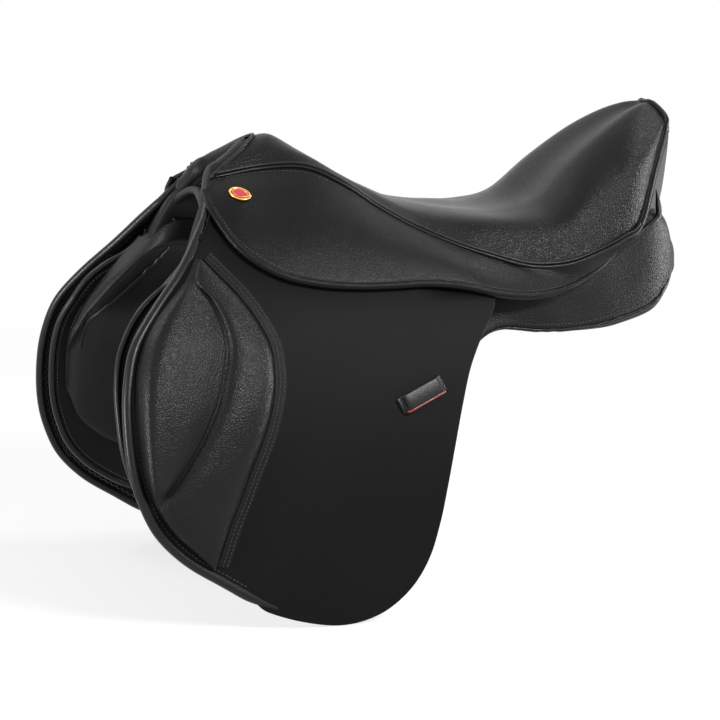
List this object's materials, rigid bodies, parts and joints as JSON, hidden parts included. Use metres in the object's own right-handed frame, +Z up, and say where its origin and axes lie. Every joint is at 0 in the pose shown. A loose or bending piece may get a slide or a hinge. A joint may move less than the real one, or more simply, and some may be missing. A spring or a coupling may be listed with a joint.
{
  "type": "english saddle",
  "caption": "General purpose english riding saddle with a padded seat, skirts, flaps with knee pads, sweat flaps, flocked panels, stirrup bars and girth straps.",
  "frame": {"origin": "on the centre line, at the middle of the panels' bearing on the horse's back", "axes": "+X to the cantle, -Y the near (left) side, +Z up"},
  "size_m": [0.5773, 0.39, 0.4396],
  "materials": {
    "seat_leather": "smooth satin black leather",
    "welt_leather": "satin black piping",
    "skirt_leather": "smooth black leather, grained towards the rear",
    "flap_leather": "matte black leather",
    "sweat_leather": "matte black leather",
    "panel_leather": "grained black panel leather",
    "strap_leather": "matte black strap leather",
    "seat_padding": "latex foam under felt",
    "laminated_wood": "lacquered laminated beech",
    "spring_steel": "oiled sprung steel",
    "web": "woven web",
    "bar_steel": "forged steel, brushed",
    "badge": "red enamel in a gold rim"
  },
  "bodies": {
    "root": {"seat_cover": "seat_leather", "seat_foam": "seat_padding", "seat_welts": "welt_leather", "pommel_welt": "welt_leather", "pommel_facing": "seat_leather", "cantle_facing": "seat_leather", "tree_head": "laminated_wood", "tree_cantle": "laminated_wood", "tree_rail_left": "laminated_wood", "tree_rail_right": "laminated_wood", "tree_wing_left": "laminated_wood", "tree_wing_right": "laminated_wood", "tree_point_left": "laminated_wood", "tree_point_right": "laminated_wood", "gullet_plate": "spring_steel", "head_rivets": "spring_steel", "tree_springs": "spring_steel", "straining_web": "web", "skirt_root_left": "skirt_leather", "skirt_root_right": "skirt_leather", "head_badge_left": "badge", "head_badge_right": "badge", "stirrup_bar_left": "bar_steel", "stirrup_bar_right": "bar_steel", "flap_band_left": "flap_leather", "flap_band_right": "flap_leather", "sweat_flap_left": "sweat_leather", "sweat_flap_right": "sweat_leather", "sweat_edge_left": "sweat_leather", "sweat_edge_right": "sweat_leather", "panel_left": "panel_leather", "panel_right": "panel_leather", "panel_arch": "panel_leather", "knee_block_left": "sweat_leather", "knee_block_right": "sweat_leather", "point_pocket_left": "sweat_leather", "point_pocket_right": "sweat_leather"},
    "flap_left": {"flap_left": "flap_leather", "flap_roll_left": "flap_leather", "knee_pad_left": "flap_leather", "leather_keeper_left": "flap_leather"},
    "skirt_left": {"skirt_left": "skirt_leather", "skirt_edge_left": "skirt_leather"},
    "catch_left": {"bar_catch_left": "bar_steel"},
    "strap_front_left": {"girth_strap_front_left": "strap_leather"},
    "strap_middle_left": {"girth_strap_middle_left": "strap_leather"},
    "strap_rear_left": {"girth_strap_rear_left": "strap_leather"},
    "guard_left": {"buckle_guard_left": "sweat_leather"},
    "flap_right": {"flap_right": "flap_leather", "flap_roll_right": "flap_leather", "knee_pad_right": "flap_leather", "leather_keeper_right": "flap_leather"},
    "skirt_right": {"skirt_right": "skirt_leather", "skirt_edge_right": "skirt_leather"},
    "catch_right": {"bar_catch_right": "bar_steel"},
    "strap_front_right": {"girth_strap_front_right": "strap_leather"},
    "strap_middle_right": {"girth_strap_middle_right": "strap_leather"},
    "strap_rear_right": {"girth_strap_rear_right": "strap_leather"},
    "guard_right": {"buckle_guard_right": "sweat_leather"}
  },
  "joints": [
    {"name": "flap_lift_left", "type": "hinge", "parent": "root", "child": "flap_left", "pos_m": [-0.262, -0.0845, 0.12], "axis": [-0.9608, 0.1567, 0.2288], "range_deg": [0, 75]},
    {"name": "skirt_lift_left", "type": "hinge", "parent": "flap_left", "child": "skirt_left", "pos_m": [-0.262, -0.0845, 0.12], "axis": [-0.9608, 0.1567, 0.2288], "range_deg": [0, 50]},
    {"name": "catch_turn_left", "type": "hinge", "parent": "root", "child": "catch_left", "pos_m": [-0.078, -0.0945, 0.0655], "axis": [0, 1, 0], "range_deg": [0, 80]},
    {"name": "strap_swing_front_left", "type": "hinge", "parent": "root", "child": "strap_front_left", "pos_m": [-0.194, -0.0805, 0.0594], "axis": [0, -0.9768, 0.214], "range_deg": [-2.5, 2.5]},
    {"name": "strap_swing_middle_left", "type": "hinge", "parent": "root", "child": "strap_middle_left", "pos_m": [-0.146, -0.0805, 0.0594], "axis": [0, -0.9768, 0.214], "range_deg": [-2.5, 2.5]},
    {"name": "strap_swing_rear_left", "type": "hinge", "parent": "root", "child": "strap_rear_left", "pos_m": [-0.098, -0.0805, 0.0594], "axis": [0, -0.9768, 0.214], "range_deg": [-2.5, 2.5]},
    {"name": "guard_slide_left", "type": "slide", "parent": "root", "child": "guard_left", "axis": [0, -0.214, -0.9768], "range_m": [0, 0.06]},
    {"name": "flap_lift_right", "type": "hinge", "parent": "root", "child": "flap_right", "pos_m": [-0.262, 0.0845, 0.12], "axis": [0.9608, 0.1567, -0.2288], "range_deg": [0, 75]},
    {"name": "skirt_lift_right", "type": "hinge", "parent": "flap_right", "child": "skirt_right", "pos_m": [-0.262, 0.0845, 0.12], "axis": [0.9608, 0.1567, -0.2288], "range_deg": [0, 50]},
    {"name": "catch_turn_right", "type": "hinge", "parent": "root", "child": "catch_right", "pos_m": [-0.078, 0.0945, 0.0655], "axis": [0, 1, 0], "range_deg": [0, 80]},
    {"name": "strap_swing_front_right", "type": "hinge", "parent": "root", "child": "strap_front_right", "pos_m": [-0.194, 0.0805, 0.0594], "axis": [0, 0.9768, 0.214], "range_deg": [-2.5, 2.5]},
    {"name": "strap_swing_middle_right", "type": "hinge", "parent": "root", "child": "strap_middle_right", "pos_m": [-0.146, 0.0805, 0.0594], "axis": [0, 0.9768, 0.214], "range_deg": [-2.5, 2.5]},
    {"name": "strap_swing_rear_right", "type": "hinge", "parent": "root", "child": "strap_rear_right", "pos_m": [-0.098, 0.0805, 0.0594], "axis": [0, 0.9768, 0.214], "range_deg": [-2.5, 2.5]},
    {"name": "guard_slide_right", "type": "slide", "parent": "root", "child": "guard_right", "axis": [0, 0.214, -0.9768], "range_m": [0, 0.06]}
  ]
}
